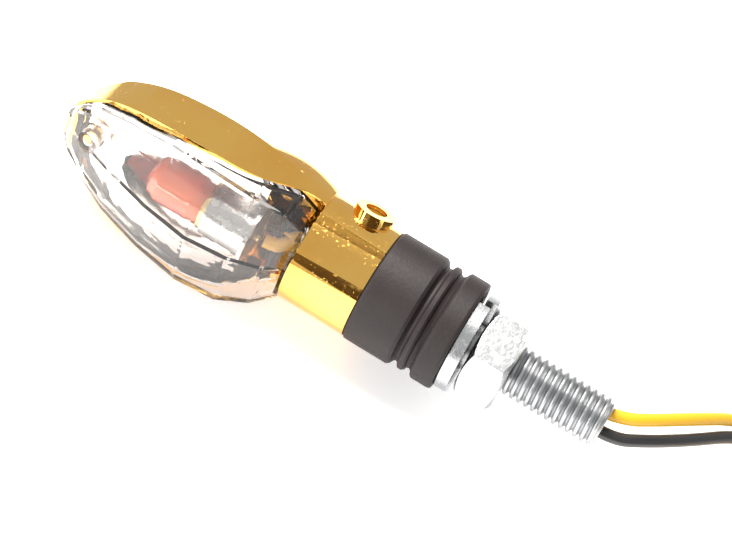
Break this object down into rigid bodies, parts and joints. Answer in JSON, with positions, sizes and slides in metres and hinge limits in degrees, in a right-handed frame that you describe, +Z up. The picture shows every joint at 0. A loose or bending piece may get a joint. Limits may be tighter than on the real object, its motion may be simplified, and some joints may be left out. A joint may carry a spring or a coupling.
{
  "type": "turn signal indicator",
  "caption": "Motorcycle turn signal with a clear faceted lens, gold plated housing, flexible rubber stalk and a hollow threaded stud with lock washer and nut.",
  "frame": {"origin": "centre of the stud in the rubber boot's outer end face, where the boot seats on the bracket", "axes": "+X along the stud to its free end, away from the lamp; -Y is the way the lens faces; +Z up, across the lens, towards the screw boss"},
  "size_m": [0.1873, 0.0532, 0.032],
  "materials": {
    "gold_plate": "bright gold plating",
    "gold_screw": "bright gold plating",
    "clear_lens": "clear moulded facets",
    "bright_reflector": "mirror",
    "amber_glass": "amber lacquered",
    "tungsten": "drawn wire",
    "brass": "bright",
    "solder": "dull",
    "zinc_steel": "zinc plated",
    "thread_steel": "rolled thread, zinc plated",
    "cast_alloy": "as cast",
    "phenolic": "brown laminate",
    "black_rubber": "matte moulded",
    "yellow_pvc": "glossy insulation",
    "black_pvc": "glossy insulation",
    "sleeve_plastic": "clear soft sleeve",
    "tie_nylon": "nylon strap"
  },
  "bodies": {
    "mount": {"rubber_boot": "black_rubber", "threaded_stud": "thread_steel", "yellow_bore_lead": "yellow_pvc", "black_bore_lead": "black_pvc", "yellow_lead": "yellow_pvc", "black_lead": "black_pvc", "yellow_coil": "yellow_pvc", "black_coil": "black_pvc", "yellow_tail": "yellow_pvc", "black_tail": "black_pvc", "yellow_sleeve": "sleeve_plastic", "black_sleeve": "sleeve_plastic", "yellow_bullet": "brass", "black_bullet": "brass", "coil_tie": "tie_nylon"},
    "head": {"gold_housing": "gold_plate", "lens": "clear_lens", "lens_gasket": "black_rubber", "reflector": "bright_reflector", "lens_screw": "gold_screw", "stem_screw": "zinc_steel", "stem_insert": "cast_alloy", "bulb_glass": "amber_glass", "bulb_stem": "clear_lens", "bulb_filament": "tungsten", "bulb_base": "brass", "bulb_contact": "solder", "socket_shell": "zinc_steel", "socket_insulator": "phenolic", "contact_plunger": "brass", "contact_spring": "zinc_steel", "yellow_inner_lead": "yellow_pvc", "black_inner_lead": "black_pvc"},
    "washer": {"lock_washer": "zinc_steel"},
    "nut": {"hex_nut": "zinc_steel"}
  },
  "joints": [
    {"name": "stalk_flex", "type": "hinge", "parent": "mount", "child": "head", "pos_m": [-0.0085, 0, 0], "axis": [0, 0, 1], "range_deg": [-15, 15], "stiffness_Nm_per_rad": 1.5, "deforming": ["rubber_boot"]},
    {"name": "washer_slide", "type": "slide", "parent": "mount", "child": "washer", "axis": [1, 0, 0], "range_m": [0, 0.0103]},
    {"name": "nut_spin", "type": "hinge", "parent": "washer", "child": "nut", "pos_m": [0.0074, 0, 0], "axis": [1, 0, 0], "range_deg": [0, 2400]}
  ],
  "couplings": [
    {"joint": "washer_slide", "follows": "nut_spin", "m_per_rad": 0.00023873}
  ]
}
